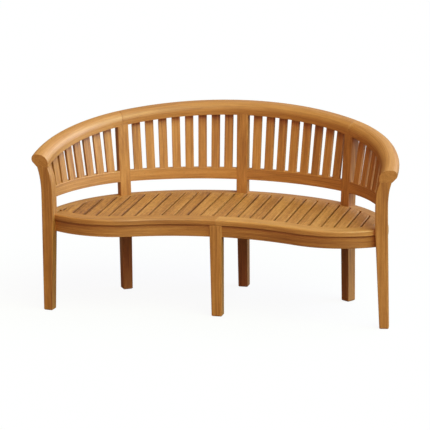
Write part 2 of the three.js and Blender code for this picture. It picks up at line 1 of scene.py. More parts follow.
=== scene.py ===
# %% [markdown]
# # A curved teak garden bench
# The bench seats three. Its back is one long sweep that sinks into the arms, and its seat front
# swells and draws in again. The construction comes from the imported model, which stays as it is.
# Here each visible stick of wood is modelled again as its own piece, with eased edges and a grain
# that follows it.

# %% Load the construction
import math
import random
from contextlib import contextmanager

import bmesh
import bpy
from mathutils import Matrix, Vector


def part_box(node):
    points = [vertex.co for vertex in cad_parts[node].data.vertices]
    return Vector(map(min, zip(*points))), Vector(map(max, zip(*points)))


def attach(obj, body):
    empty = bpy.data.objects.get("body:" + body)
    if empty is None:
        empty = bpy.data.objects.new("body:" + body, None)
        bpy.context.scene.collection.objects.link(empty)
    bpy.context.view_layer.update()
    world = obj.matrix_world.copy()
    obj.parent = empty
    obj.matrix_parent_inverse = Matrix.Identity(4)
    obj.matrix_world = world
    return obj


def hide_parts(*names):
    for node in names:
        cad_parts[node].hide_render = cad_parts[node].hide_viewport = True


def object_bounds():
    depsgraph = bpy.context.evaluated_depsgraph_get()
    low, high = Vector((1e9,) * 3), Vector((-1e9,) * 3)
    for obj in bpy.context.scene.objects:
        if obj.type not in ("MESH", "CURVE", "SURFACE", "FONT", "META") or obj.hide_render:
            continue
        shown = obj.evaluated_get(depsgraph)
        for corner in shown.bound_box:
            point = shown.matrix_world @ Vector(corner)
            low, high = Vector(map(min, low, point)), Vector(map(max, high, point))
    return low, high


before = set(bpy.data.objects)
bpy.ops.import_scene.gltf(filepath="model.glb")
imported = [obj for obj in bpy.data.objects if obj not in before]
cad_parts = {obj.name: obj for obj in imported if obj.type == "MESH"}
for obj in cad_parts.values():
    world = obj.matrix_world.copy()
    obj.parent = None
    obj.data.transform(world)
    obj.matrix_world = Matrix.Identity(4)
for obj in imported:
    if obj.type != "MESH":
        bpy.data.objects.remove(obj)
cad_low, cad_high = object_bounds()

bpy.ops.object.select_all(action="DESELECT")
cad_sides = [round(side, 3) for side in cad_high - cad_low]
print("the construction has", len(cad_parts), "pieces and is", cad_sides, "m")

# %% [markdown]
# A curved rail is easiest to think of as a straight board that is bent afterwards. The two lines
# that the boards are bent on are made of arcs, as a joiner would draw them with a trammel: the
# back line through the back legs and the front posts, and the front line along the seat's front
# edge. A place on a line is how far along it lies, how far across, and how high, with zero along
# at the middle.

# %% The two plan lines
FRONT_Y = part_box("front_middle_leg")[0].y
BACK_BEHIND_FRONT = 0.497
BACK_ARCS = [(0.988, 27), (0.534, 28), (0.592, 25.8)]
FRONT_ARCS = [(0.985, 21), (0.3994, -59.8)]


def plan_line(start_y, arcs):
    """A line of arcs, each a radius and a turn, from the middle outwards on both sides."""
    def at(along):
        side = -1 if along < 0 else 1
        rest, heading, x, y = abs(along), 0.0, 0.0, start_y
        for number, (radius, turn) in enumerate(arcs):
            whole = radius * math.radians(abs(turn))
            part = rest if number == len(arcs) - 1 else min(rest, whole)
            bend = math.copysign(radius, turn)
            ahead = heading + part / bend
            x += bend * (math.sin(ahead) - math.sin(heading))
            y += bend * (math.cos(ahead) - math.cos(heading))
            heading = ahead
            rest -= part
        return side * x, y, side * heading
    return at


def length_of(arcs):
    return sum(radius * math.radians(abs(turn)) for radius, turn in arcs)


back_line = plan_line(FRONT_Y + BACK_BEHIND_FRONT, BACK_ARCS)
front_line = plan_line(FRONT_Y, FRONT_ARCS)
POST_ALONG = length_of(BACK_ARCS)
FRONT_REACH = length_of(FRONT_ARCS)
print("the back line is", round(2 * POST_ALONG, 3), "m long and the front line",
      round(2 * FRONT_REACH, 3), "m")

# %% [markdown]
# Seen from the front, the top rail isn't level: it sinks from the crown of the back to the arms,
# slowly at first and then faster, and it also leans in over the seat. Both follow a power of the
# distance from the middle. The legs and the slats meet the rail, so they ask these functions
# where it is.

# %% Where the top rail runs
CROWN_HEIGHT = 0.772
ARM_HEIGHT = 0.636
CROWN_RAIL_ACROSS = 0.009
ARM_RAIL_ACROSS = -0.024
FALL_POWER = 2
LEAN_POWER = 3
POST_WIDTH = 0.044
RAIL_REACH = POST_ALONG + POST_WIDTH / 2


def rail_share(along):
    """How far out a place is, from 0 in the middle to 1 at an arm's end."""
    return min(abs(along) / RAIL_REACH, 1.0)


def rail_height(along):
    return CROWN_HEIGHT - (CROWN_HEIGHT - ARM_HEIGHT) * rail_share(along) ** FALL_POWER


def rail_across(along):
    lean = CROWN_RAIL_ACROSS - ARM_RAIL_ACROSS
    return CROWN_RAIL_ACROSS - lean * rail_share(along) ** LEAN_POWER


fall = rail_height(0) - rail_height(RAIL_REACH)
print("the rail sinks", round(fall, 3), "m from the crown to the arms")

# %% [markdown]
# A wood pattern is a sum of many small patterns. Wiring each node by name soon hides the idea, so
# a small class wraps a node's output and lets Python's own signs add, multiply and divide it. One
# method adds any other node from its type, its settings and what goes into its sockets. A recipe
# holds the nodes of one material, or of the world round the bench.

# %% Shader sums as Python sums


class Wire:
    """One output of a shader node, which can stand in a sum."""

    def __init__(self, recipe, socket):
        self.recipe = recipe
        self.socket = socket

    def maths(self, operation, *terms):
        return self.recipe.node("ShaderNodeMath", {"operation": operation}, dict(enumerate(terms)))

    def __add__(self, other):
        return self.maths("ADD", self, other)

    def __radd__(self, other):
        return self.maths("ADD", other, self)

    def __sub__(self, other):
        return self.maths("SUBTRACT", self, other)

    def __mul__(self, other):
        return self.maths("MULTIPLY", self, other)

    def __rmul__(self, other):
        return self.maths("MULTIPLY", other, self)

    def __truediv__(self, other):
        return self.maths("DIVIDE", self, other)

    def __pow__(self, other):
        return self.maths("POWER", self, other)


class Recipe:
    """The nodes of a material or a world in the making."""

    def __init__(self, owner):
        self.owner = owner
        owner.use_nodes = True
        self.tree = owner.node_tree
        self.tree.nodes.clear()

    def node(self, kind, settings=None, inputs=None, output=0):
        made = self.tree.nodes.new(kind)
        for name, value in (settings or {}).items():
            if name == "stops":
                self.set_stops(made.color_ramp, value)
            else:
                setattr(made, name, value)
        for name, value in (inputs or {}).items():
            if isinstance(value, Wire):
                self.tree.links.new(value.socket, made.inputs[name])
            else:
                made.inputs[name].default_value = value
        return Wire(self, made.outputs[output])

    def set_stops(self, ramp, stops):
        while len(ramp.elements) < len(stops):
            ramp.elements.new(1.0)
        for element, (position, colour) in zip(ramp.elements, stops):
            element.position = position
            element.color = (*colour, 1)

    def finish(self, shader, output="ShaderNodeOutputMaterial"):
        surface = self.tree.nodes.new(output)
        self.tree.links.new(shader.socket, surface.inputs["Surface"])
        return self.owner


print("shader sums are ready")

# %% [markdown]
# Four kinds of node come back all the time: noise that is stretched along the wood, a soft step
# from 0 to 1, a ramp of colours, and a mix of two colours. Noise wavers round a half, so a layer
# that should both pale and brown the wood is centred first.

# %% Noise, steps, ramps and mixes
NOISE_MIDDLE = 0.5


def stretched_noise(wood, place, waves, detail=3.0, roughness=0.5):
    """Noise with its own number of waves a metre along, across and up the log."""
    drawn = wood.node("ShaderNodeVectorMath", {"operation": "MULTIPLY"}, {0: place, 1: waves})
    return wood.node("ShaderNodeTexNoise", inputs={
        "Vector": drawn, "Scale": 1.0, "Detail": detail, "Roughness": roughness})


def centred(noise):
    return noise - NOISE_MIDDLE


def smooth_step(wood, value, low, high):
    return wood.node("ShaderNodeMapRange", {"interpolation_type": "SMOOTHSTEP"},
                     {"Value": value, "From Min": low, "From Max": high})


def colour_ramp(wood, value, stops):
    return wood.node("ShaderNodeValToRGB", {"stops": stops}, {0: value})


def mix_colour(wood, share, first, second):
    return wood.node("ShaderNodeMix", {"data_type": "RGBA"},
                     {0: share, 6: first, 7: second}, output=2)


print("noise, steps, ramps and mixes are ready")

# %% [markdown]
# Teak seen close up is growth rings, drawn out along the stick. On a sawn end the same rings show
# as arcs. A flat stripe picture would fail there, so the pattern is worked out in space: every
# piece carries a point attribute, grain, that says where each point lay in the straight log
# (metres along it, across it and up it). It is written before a board is bent, so the figure
# follows the bend. A second one, tone, makes each board a little paler or browner than
# its neighbour, and also carries the painted shade and painted light that are browned into the back
# legs and the seat slats. Rough wood that nobody sees does with its place on the bench.

# %% The log and its rings
RING_PITCH = 0.0062
RING_WANDER = 0.030
WANDER_WAVES = (1.6, 9, 9)


def place_tone_and_shade(wood, sawn):
    """Where a point lies in its log, and how brown its board is, painted shade and light included.
    """
    if sawn:
        return wood.node("ShaderNodeTexCoord", output="Object"), NOISE_MIDDLE
    place = wood.node("ShaderNodeAttribute", {"attribute_name": "grain"}, output="Vector")
    tone = wood.node("ShaderNodeAttribute", {"attribute_name": "tone"}, output="Fac")
    return place, tone


def growth_rings(wood, place):
    """Rings round the log's heart, which swell from 0 to 1 and back once a ring."""
    apart = wood.node("ShaderNodeSeparateXYZ", inputs={0: place})
    across, up = (Wire(wood, apart.socket.node.outputs[axis]) for axis in ("Y", "Z"))
    wander = stretched_noise(wood, place, WANDER_WAVES, detail=2)
    rings = ((across * across + up * up) ** 0.5 + RING_WANDER * wander) / RING_PITCH
    return rings.maths("PINGPONG", rings, 0.5) * 2


print("a ring is", RING_PITCH, "m wide")

# %% [markdown]
# On the rings lie streaks of brown oil colour, fine fibres, wide stains, blotches and short dark
# pores. Each layer has its waves a metre (along, across and up the log) and its share in how
# brown the wood gets. Faint pale scuffs, duller than the rest, are the only wear, for the bench
# in the photograph is new. The same layers raise and sink the surface a little, and make it
# duller or glossier.

# %% Layers of the teak
FIGURE_WAVES, FIGURE_STEP, FIGURE_SHARE, FIGURE_SHARPNESS = (1.2, 30, 30), (0.35, 0.62), 0.18, 2.2
STREAK_WAVES, STREAK_SHARE, STREAK_ROUGHNESS = (2.2, 120, 120), 0.8, 0.62
FIBRE_WAVES, FIBRE_SHARE = (24, 1100, 1100), 0.16
STAIN_WAVES, STAIN_SHARE = (3, 14, 14), 0.28
BLOTCH_WAVES, BLOTCH_WAVES_ACROSS, BLOTCH_SHARE = 10, (100, 100), 0.5
PORE_WAVES, PORE_STEP, PORE_SHARE = (70, 1500, 1500), (0.60, 0.72), 0.45
SCUFF_WAVES, SCUFF_STEP, SCUFF_SHARE, SCUFF_ROUGHNESS = (11, 60, 60), (0.56, 0.72), 0.16, 0.7
TONE_AND_SHADE_SHARE = 0.18
FIBRE_RISE, RING_RISE, PORE_SINK, SCUFF_SINK = 0.5, 0.25, 0.6, 0.3
FIBRE_DULLNESS, FIGURE_DULLNESS, SCUFF_DULLNESS = 0.18, 0.10, 0.14
BUMP_STRENGTH = 0.35
BUMP_HEIGHT = 0.0006
OIL_SHINE = 0.85
print("a streak is about", round(1 / STREAK_WAVES[0], 2), "m long")

# %% [markdown]
# The sum of the layers, the depth, picks a colour between pale honey and deep brown. Teak is
# mixed five times from the one recipe: plain for legs and boards, calmer for the top rail,
# livelier for the back slats, livelier still and blotched more finely for the seat, and browner
# and rougher where it is only sawn.

# %% Mix the teak
PALE_HONEY = (0.64, 0.310, 0.095)
GOLDEN = (0.475, 0.195, 0.044)
BROWN = (0.28, 0.094, 0.018)
DEEP_BROWN = (0.13, 0.038, 0.007)
PLAIN_DEPTH = 0.40
COLOUR_STOPS = [(0.08, PALE_HONEY), (0.42, GOLDEN), (0.74, BROWN), (1.0, DEEP_BROWN)]


def teak(name, lively=1.0, blotch_waves=BLOTCH_WAVES, darker=0.0, roughness=0.5, sawn=False):
    wood = Recipe(bpy.data.materials.new(name))
    place, tone = place_tone_and_shade(wood, sawn)
    ring = growth_rings(wood, place)
    figured = smooth_step(wood, stretched_noise(wood, place, FIGURE_WAVES), *FIGURE_STEP)
    figure = ring ** FIGURE_SHARPNESS * figured
    streaks = stretched_noise(wood, place, STREAK_WAVES, detail=5, roughness=STREAK_ROUGHNESS)
    fibres = stretched_noise(wood, place, FIBRE_WAVES, detail=2)
    stains = stretched_noise(wood, place, STAIN_WAVES, detail=3)
    blotches = stretched_noise(wood, place, (blotch_waves, *BLOTCH_WAVES_ACROSS), detail=3)
    pores = smooth_step(wood, stretched_noise(wood, place, PORE_WAVES, detail=1), *PORE_STEP)
    rubbed = stretched_noise(wood, place, SCUFF_WAVES, detail=5, roughness=SCUFF_ROUGHNESS)
    scuffs = smooth_step(wood, rubbed, *SCUFF_STEP)

    shades = STREAK_SHARE * centred(streaks) + FIBRE_SHARE * centred(fibres)
    shades = shades + STAIN_SHARE * centred(stains) + BLOTCH_SHARE * centred(blotches)
    depth = PLAIN_DEPTH + darker + lively * shades
    depth = depth + FIGURE_SHARE * figure + TONE_AND_SHADE_SHARE * centred(tone)
    colour = colour_ramp(wood, depth, COLOUR_STOPS)
    colour = mix_colour(wood, pores * PORE_SHARE, colour, (*DEEP_BROWN, 1))
    colour = mix_colour(wood, scuffs * SCUFF_SHARE, colour, (*PALE_HONEY, 1))

    height = FIBRE_RISE * fibres - PORE_SINK * pores + RING_RISE * ring - SCUFF_SINK * scuffs
    bump = wood.node("ShaderNodeBump", inputs={
        "Strength": BUMP_STRENGTH, "Distance": BUMP_HEIGHT, "Height": height})
    dullness = roughness + FIBRE_DULLNESS * centred(fibres)
    dullness = dullness + FIGURE_DULLNESS * figure + SCUFF_DULLNESS * scuffs
    shader = wood.node("ShaderNodeBsdfPrincipled", inputs={
        "Base Color": colour, "Roughness": dullness, "Normal": bump,
        "Specular IOR Level": OIL_SHINE})
    return wood.finish(shader)


TEAK = teak("oiled_teak")
RAIL_TEAK = teak("rail_teak", lively=0.8)
SLAT_TEAK = teak("back_slat_teak", lively=1.25)
SEAT_TEAK = teak("seat_teak", lively=1.5, blotch_waves=40)
SAWN_TEAK = teak("sawn_teak", darker=0.16, roughness=0.7, sawn=True)
print("teak is mixed from", len(TEAK.node_tree.nodes), "nodes")

# %% [markdown]
# The same few moves make every piece: start a box, pick edges by their place, cut them into
# stations so that they can bend, and round the corners. They are kept as small functions with a
# workshop's names. Edges are picked in code by where their two ends lie, because nobody clicks on
# them here.

# %% Bench hands: start, pick, round
EDGE = 0.003
TINY = 1e-5


def take(piece):
    """Makes this the one selected and active object."""
    bpy.ops.object.select_all(action="DESELECT")
    piece.select_set(True)
    bpy.context.view_layer.objects.active = piece


@contextmanager
def editing(piece, kind="EDGE"):
    take(piece)
    bpy.ops.object.mode_set(mode="EDIT")
    bpy.ops.mesh.select_mode(type=kind)
    yield
    bpy.ops.object.mode_set(mode="OBJECT")


def box(name, low, high):
    """A box between two corners, as a new piece."""
    low, high = Vector(low), Vector(high)
    bpy.ops.mesh.primitive_cube_add(size=1, location=(low + high) / 2, scale=high - low)
    piece = bpy.context.object
    piece.name = name
    bpy.ops.object.transform_apply(location=True, rotation=True, scale=True)
    return piece


def pick_edges(piece, wanted):
    """In edit mode, selects only the edges whose two ends pass the test."""
    bpy.ops.mesh.select_all(action="DESELECT")
    shape = bmesh.from_edit_mesh(piece.data)
    for edge in shape.edges:
        edge.select_set(wanted(edge.verts[0].co, edge.verts[1].co))
    bmesh.update_edit_mesh(piece.data)


def lengthwise(one, other):
    return abs(one.x - other.x) > TINY


def use_modifier(piece, kind, **settings):
    """Adds a modifier, sets it and applies it."""
    take(piece)
    modifier = piece.modifiers.new(kind.title(), kind)
    for name, value in settings.items():
        setattr(modifier, name, value)
    bpy.ops.object.modifier_apply(modifier=modifier.name)


def round_edges(piece, radius=EDGE, segments=3, sharper_than=50):
    use_modifier(piece, "BEVEL", width=radius, segments=segments, limit_method="ANGLE",
                 angle_limit=math.radians(sharper_than))


print("edges are rounded to", EDGE, "m")

# %% [markdown]
# A joiner picks boards. The large ones that look paler or browner than their neighbours in
# the photograph get their tone by name, and the others by dice: 0 is pale, 1 is brown, and either
# may be passed. The dice also say from which spot of a log each stick was sawn (metres along it,
# across it and up it), so no two look alike.

# %% Write the grain
BOARD_TONES_AND_SHADE = {
    "top_rail_left_arm_moulding": 0.0,
    "top_rail_crest_moulding": 0.5,
    # The back legs are browner, partly for their own tone and partly as painted shade under the
    # seat.
    "back_left_leg_stick": 0.6,
    "back_middle_leg_stick": 0.8,
    "back_right_leg_stick": 1.2,
    "front_left_post_stick": 0.7,
    "front_middle_leg_stick": 0.1,
    "lower_rail_left_arm": 0.4,
    "lower_rail_left": 0.25,
    "lower_rail_right_arm": 0.6,
    "back_slat_left_arm_4": 0.3,
    "back_slat_left_arm_5": 0.2,
    "back_slat_left_arm_6": 0.1,
    "rear_seat_strip_right_arm_board": 0.2,
    "front_board_left": 0.9,
    "front_board_right": -0.6,
    "front_apron_board_left": 0.5,
}
DICE_SEED = 7
SAWN_FROM = ((0, 40), (0.05, 0.16), (0.04, 0.22))
LOG_AXES = {"X": (0, 1, 2), "Y": (1, 0, 2), "Z": (2, 0, 1)}
dice = random.Random(DICE_SEED)


def write_grain(piece, axis="X"):
    """Writes where each point lies in its log, and how brown this stick is."""
    turn = LOG_AXES[axis]
    spot = Vector([dice.uniform(*span) for span in SAWN_FROM])
    middle = sum((v.co for v in piece.data.vertices), Vector()) / len(piece.data.vertices)
    for name, kind in (("grain", "FLOAT_VECTOR"), ("tone", "FLOAT")):
        piece.data.attributes.new(name, kind, "POINT")
    grain, tone = piece.data.attributes["grain"], piece.data.attributes["tone"]
    drawn = dice.random()
    brown = BOARD_TONES_AND_SHADE.get(piece.name, drawn)
    for vertex in piece.data.vertices:
        local = vertex.co - middle
        grain.data[vertex.index].vector = Vector([local[i] for i in turn]) + spot
        tone.data[vertex.index].value = brown


print(len(BOARD_TONES_AND_SHADE), "boards are picked by eye")

# %% [markdown]
# A finished piece is smooth across its rounded edges and flat between them. Smoothing by angle
# alone leaves a soft pillow on the large faces, so a Weighted Normal modifier lets these decide.
# Then the piece gets its wood and is handed over, with the body that it rides on and the node
# that it replaces.

# %% Hand a piece over
SMOOTH_BELOW = 32
LARGE_FACES_FIRST = 100
made_pieces = []


def hand_over(piece, slot, *nodes, material=TEAK):
    take(piece)
    bpy.ops.object.shade_smooth_by_angle(angle=math.radians(SMOOTH_BELOW))
    use_modifier(piece, "WEIGHTED_NORMAL", weight=LARGE_FACES_FIRST, keep_sharp=True)
    piece.data.materials.clear()
    piece.data.materials.append(material)
    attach(piece, "root")
    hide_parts(*nodes)
    made_pieces.append(piece)


print("faces are smooth where they meet below", SMOOTH_BELOW, "degrees")

# %% [markdown]
# A flat curve drawn through a plan line is the jig that boards are bent on. Blender's Curve
# modifier lays a board's X direction along the jig and keeps its Y across and its Z up. The jigs
# are thrown away at the end, because they aren't part of the bench.

# %% Bending jigs
JIG_PITCH = 0.008
JIG_SPARE = 0.12


def jig(name, line, reach):
    """A curve along a plan line, from -reach to +reach."""
    count = 2 * round(reach / JIG_PITCH)
    curve = bpy.data.curves.new(name, "CURVE")
    curve.dimensions = "3D"
    curve.twist_mode = "Z_UP"
    spline = curve.splines.new("POLY")
    spline.points.add(count)
    for number, point in enumerate(spline.points):
        x, y, _ = line(reach * (2 * number / count - 1))
        point.co = (x, y, 0, 1)
    made = bpy.data.objects.new(name, curve)
    bpy.context.scene.collection.objects.link(made)
    return made


BACK_JIG_REACH = POST_ALONG + JIG_SPARE
back_jig = jig("back_jig", back_line, BACK_JIG_REACH)
front_jig = jig("front_jig", front_line, FRONT_REACH)
JIG_REACH = {back_jig: BACK_JIG_REACH, front_jig: FRONT_REACH}


def bend(piece, on):
    """Bends a board whose X is the distance along the line from its middle."""
    take(piece)
    bpy.ops.object.mode_set(mode="EDIT")
    bpy.ops.mesh.select_all(action="SELECT")
    bpy.ops.transform.translate(value=(JIG_REACH[on], 0, 0))
    bpy.ops.object.mode_set(mode="OBJECT")
    use_modifier(piece, "CURVE", object=on, deform_axis="POS_X")
    return piece


print("jigs:", [round(2 * reach, 3) for reach in JIG_REACH.values()], "m")

# %% [markdown]
# Most boards start straight, are cut into stations every 22 mm and get their grain while they are
# still straight. Some then lean or draw in: a Displace modifier moves their points along one
# direction, as far as each point's weight says.

# %% Straight boards
STATION = 0.022
FEWEST_CUTS = 2


def shift_by(piece, direction, amount, weight):
    """Moves points along one direction by an amount times the weight of their place."""
    group = piece.vertex_groups.new(name="shift")
    for vertex in piece.data.vertices:
        group.add([vertex.index], min(max(weight(vertex.co), 0.0), 1.0), "REPLACE")
    use_modifier(piece, "DISPLACE", direction=direction, mid_level=0, strength=amount,
                 vertex_group=group.name)
    piece.vertex_groups.clear()


def straight_board(name, from_along, to_along, inner, bottom, width, tall, edge=EDGE):
    """A straight board along X with rounded corners, cut into stations, with its grain written."""
    board = box(name, (from_along, inner, bottom), (to_along, inner + width, bottom + tall))
    with editing(board):
        pick_edges(board, lengthwise)
        cuts = max(FEWEST_CUTS, round((to_along - from_along) / STATION))
        bpy.ops.mesh.subdivide(number_cuts=cuts)
    round_edges(board, edge)
    write_grain(board)
    return board


print("boards are cut every", STATION, "m")

# %% [markdown]
# The six legs are tapered sticks. Below the seat they are straight. The back legs lean back above
# the seat, and the front posts sweep outwards in a slow S, so a single tapered box won't do. Each
# of these functions gives a leg's width, its front and its back at a height, in the leg's own
# frame: X along the plan line, Y outwards.

# %% Leg sizes
SEAT_HEIGHT = 0.428
BOARD_THICK = 0.025
LEG_WIDTH = 0.049
LEG_DEPTH = 0.045
LEG_FOOT = 0.043
LEG_FRONT = -0.0215
LEG_LEAN_POWER = 1.2
POST_FOOT = 0.041
POST_INNER = -0.041
POST_OUTER = 0.012
POST_FOOT_INNER = -0.025
POST_FOOT_OUTER = 0.015
SWEEP_START = 0.510
SWEEP_INNER = 0.020
SWEEP_OUTER = 0.017
SWEEP_POWER = 2.5
MIDDLE_LEG = (0.054, 0.046)
MIDDLE_FOOT = (0.046, 0.043)


def mix(one, other, share):
    return one + (other - one) * share


def share_between(value, low, high):
    return min(max((value - low) / (high - low), 0.0), 1.0)


def back_leg_size(along):
    def at(height):
        down = 1 - share_between(height, 0, SEAT_HEIGHT)
        lean = share_between(height, SEAT_HEIGHT, rail_height(along)) ** LEG_LEAN_POWER
        front = LEG_FRONT + (rail_across(along) - LEG_FRONT) * lean
        return mix(LEG_WIDTH, LEG_FOOT, down), front, front + mix(LEG_DEPTH, LEG_FOOT, down)
    return at


def post_size(height):
    down = 1 - share_between(height, 0, SEAT_HEIGHT)
    sweep = share_between(height, SWEEP_START, ARM_HEIGHT) ** SWEEP_POWER
    front = mix(POST_INNER, POST_FOOT_INNER, down) + SWEEP_INNER * sweep
    back = mix(POST_OUTER, POST_FOOT_OUTER, down) + SWEEP_OUTER * sweep
    return mix(POST_WIDTH, POST_FOOT, down), front, back


def middle_leg_size(height):
    down = 1 - share_between(height, 0, SEAT_HEIGHT - BOARD_THICK)
    return mix(MIDDLE_LEG[0], MIDDLE_FOOT[0], down), 0.0, mix(MIDDLE_LEG[1], MIDDLE_FOOT[1], down)


print("a back leg is", LEG_WIDTH, "m wide at the seat and", LEG_FOOT, "m at the foot")

# %% [markdown]
# Drawing a leg up: the foot is a small plane, which the extrude operator lifts to the next
# height. The selected top ring is then scaled to its width and depth and slid to its place. The
# foot's edge is eased by starting 3 mm smaller. A finished leg is turned to its heading and set
# down on the line.

# %% Draw a leg up
FOOT_EASE = 0.003


def draw_up(name, size_at, heights):
    """A tapered stick through a list of heights, in its own frame."""
    def ring(height, inset):
        width, front, back = size_at(height)
        return Vector((width - 2 * inset, back - front - 2 * inset)), (front + back) / 2

    size, middle = ring(0, FOOT_EASE)
    bpy.ops.mesh.primitive_plane_add(size=1, location=(0, middle, 0))
    leg = bpy.context.object
    leg.name = name
    leg.scale = (size.x, size.y, 1)
    bpy.ops.object.transform_apply(location=True, rotation=True, scale=True)
    with editing(leg, "FACE"):
        bpy.ops.mesh.select_all(action="SELECT")
        last = 0.0
        for height in heights:
            new_size, new_middle = ring(height, 0)
            bpy.ops.mesh.extrude_region_move(
                TRANSFORM_OT_translate={"value": (0, new_middle - middle, height - last)})
            bpy.ops.transform.resize(
                value=(new_size.x / size.x, new_size.y / size.y, 1),
                center_override=(0, new_middle, height))
            size, middle, last = new_size, new_middle, height
        bpy.ops.mesh.select_all(action="SELECT")
        bpy.ops.mesh.normals_make_consistent(inside=False)
    round_edges(leg)
    write_grain(leg, "Z")
    return leg


def set_down(leg, line, along, heading=None):
    """Turns a leg to its heading and sets it down on its place of the line."""
    x, y, line_heading = line(along)
    turn = -(line_heading if heading is None else heading)
    leg.data.transform(Matrix.Translation((x, y, 0)) @ Matrix.Rotation(turn, 4, "Z"))
    return leg


print("a foot is eased by", FOOT_EASE, "m")

# %% [markdown]
# Three legs stand on the back line, at the middle and at the shoulders of the back. The posts
# stand at its ends and are turned half a degree further than the line there. The short middle leg
# stands under the hollow of the seat front. Legs that carry the top rail run 8 mm into it.

# %% The six legs
SHOULDER_ALONG = 0.526
POST_SPLAY = 81.3
INTO_RAIL = 0.008
LEG_STEPS = 10
POST_STEPS = 14
BACK_LEGS = {
    "back_left_leg": -SHOULDER_ALONG,
    "back_middle_leg": 0,
    "back_right_leg": SHOULDER_ALONG,
}
POSTS = {"front_left_post": -1, "front_right_post": 1}


def steps_to(low, high, count):
    return [mix(low, high, (number + 1) / count) for number in range(count)]


for name, along in BACK_LEGS.items():
    top = rail_height(along) + INTO_RAIL
    heights = [FOOT_EASE, SEAT_HEIGHT, *steps_to(SEAT_HEIGHT, top, LEG_STEPS)]
    stick = draw_up(name + "_stick", back_leg_size(along), heights)
    hand_over(set_down(stick, back_line, along), "leg_teak", name)

for name, side in POSTS.items():
    top = rail_height(POST_ALONG) + INTO_RAIL
    heights = [FOOT_EASE, SEAT_HEIGHT, SWEEP_START, *steps_to(SWEEP_START, top, POST_STEPS)]
    stick = draw_up(name + "_stick", post_size, heights)
    set_down(stick, back_line, side * POST_ALONG, side * math.radians(POST_SPLAY))
    hand_over(stick, "leg_teak", name)

stick = draw_up("front_middle_leg_stick", middle_leg_size, [FOOT_EASE, SEAT_HEIGHT - BOARD_THICK])
hand_over(set_down(stick, front_line, 0), "leg_teak", "front_middle_leg")
print("legs:", [piece.name for piece in made_pieces])

# %% [markdown]
# The top rail is the piece that the eye follows. Its section has a flat underside, an inner face
# that rolls over outwards, and a round nose that overhangs the back. It is drawn from one point
# with two hand tools, extrude for straight strokes and spin for arcs. The roll is drawn as a
# quarter circle and then squashed to its width.

# %% Draw the top rail's section
RAIL_UNDERSIDE = 0.054
ROLL_START = 0.018
CREST_FLAT = 0.012
NOSE_ACROSS = 0.056
NOSE_HEIGHT = 0.033
NOSE_RADIUS = 0.022
ARC_STEPS = 9


def stroke(move):
    """In edit mode, draws a straight stroke on from what is selected."""
    bpy.ops.mesh.extrude_region_move(TRANSFORM_OT_translate={"value": move})


def arc(turn, centre):
    bpy.ops.mesh.spin(steps=ARC_STEPS, angle=turn, center=centre, axis=(-1, 0, 0))


def pick_points(piece, wanted):
    """In edit mode, selects only the points that pass the test."""
    bpy.ops.mesh.select_all(action="DESELECT")
    shape = bmesh.from_edit_mesh(piece.data)
    for vertex in shape.verts:
        vertex.select_set(wanted(vertex.co))
    bmesh.update_edit_mesh(piece.data)


def draw_section(rail, base):
    """In edit mode, draws the section round from its inner lower corner, which is selected."""
    nose = base + Vector((0, NOSE_ACROSS, NOSE_HEIGHT))
    run = NOSE_ACROSS - RAIL_UNDERSIDE
    to_corner = math.atan2(-NOSE_HEIGHT, -run)
    start_turn = to_corner + math.acos(NOSE_RADIUS / math.hypot(NOSE_HEIGHT, run))
    tangent = nose + NOSE_RADIUS * Vector((0, math.cos(start_turn), math.sin(start_turn)))
    crest_across = NOSE_ACROSS - CREST_FLAT
    crest = base + Vector((0, crest_across, NOSE_HEIGHT + NOSE_RADIUS))
    roll_tall = NOSE_HEIGHT + NOSE_RADIUS - ROLL_START

    stroke((0, RAIL_UNDERSIDE, 0))
    stroke(tangent - base - Vector((0, RAIL_UNDERSIDE, 0)))
    arc(math.pi / 2 - start_turn, nose)
    stroke((0, -CREST_FLAT, 0))
    pick_points(rail, lambda co: (co - crest).length < TINY)
    arc(math.pi / 2, crest - Vector((0, 0, roll_tall)))
    pick_points(rail, lambda co: co.y < crest.y - TINY and co.z > base.z + TINY)
    bpy.ops.transform.resize(value=(1, crest_across / roll_tall, 1), center_override=crest)
    bpy.ops.mesh.select_all(action="SELECT")
    bpy.ops.mesh.remove_doubles(threshold=TINY)
    bpy.ops.mesh.edge_face_add()


print("the rail is", round(NOSE_ACROSS + NOSE_RADIUS, 3), "m deep and",
      round(NOSE_HEIGHT + NOSE_RADIUS, 3), "m tall")

# %% [markdown]
# The section is pulled out along X into a straight moulding. Only then is it cut into stations,
# lowered towards the arms, and bent. The rail comes in three lengths with seams over the shoulder
# legs. The arms run on past the front posts and are then sawn off almost flush with the posts'
# front faces, which the bisect operator does in one cut. Points that the cut leaves very close
# together are merged, and the fresh edge is eased by hand, as the real one is.

# %% Bend the top rail
DOT = 0.01
SEAM = 0.0006
SAWN_EDGE = 0.002
SAWN_CORNER = 0.001
PROUD = 0.0004


def moulding(name, from_along, to_along):
    """The top rail's section as a straight moulding at the crown's height."""
    base = Vector((from_along, rail_across(0), CROWN_HEIGHT))
    bpy.ops.mesh.primitive_plane_add(size=DOT, location=base)
    rail = bpy.context.object
    rail.name = name
    bpy.ops.object.transform_apply(location=True, rotation=True, scale=True)
    with editing(rail, "VERT"):
        bpy.ops.mesh.select_all(action="SELECT")
        bpy.ops.mesh.merge(type="CENTER")
        draw_section(rail, base)
        stroke((to_along - from_along, 0, 0))
        bpy.ops.mesh.select_all(action="SELECT")
        bpy.ops.mesh.normals_make_consistent(inside=False)
    return rail


def lower_to_arms(rail):
    lean = ARM_RAIL_ACROSS - CROWN_RAIL_ACROSS
    shift_by(rail, "Z", ARM_HEIGHT - CROWN_HEIGHT, lambda co: rail_share(co.x) ** FALL_POWER)
    shift_by(rail, "Y", lean, lambda co: rail_share(co.x) ** LEAN_POWER)


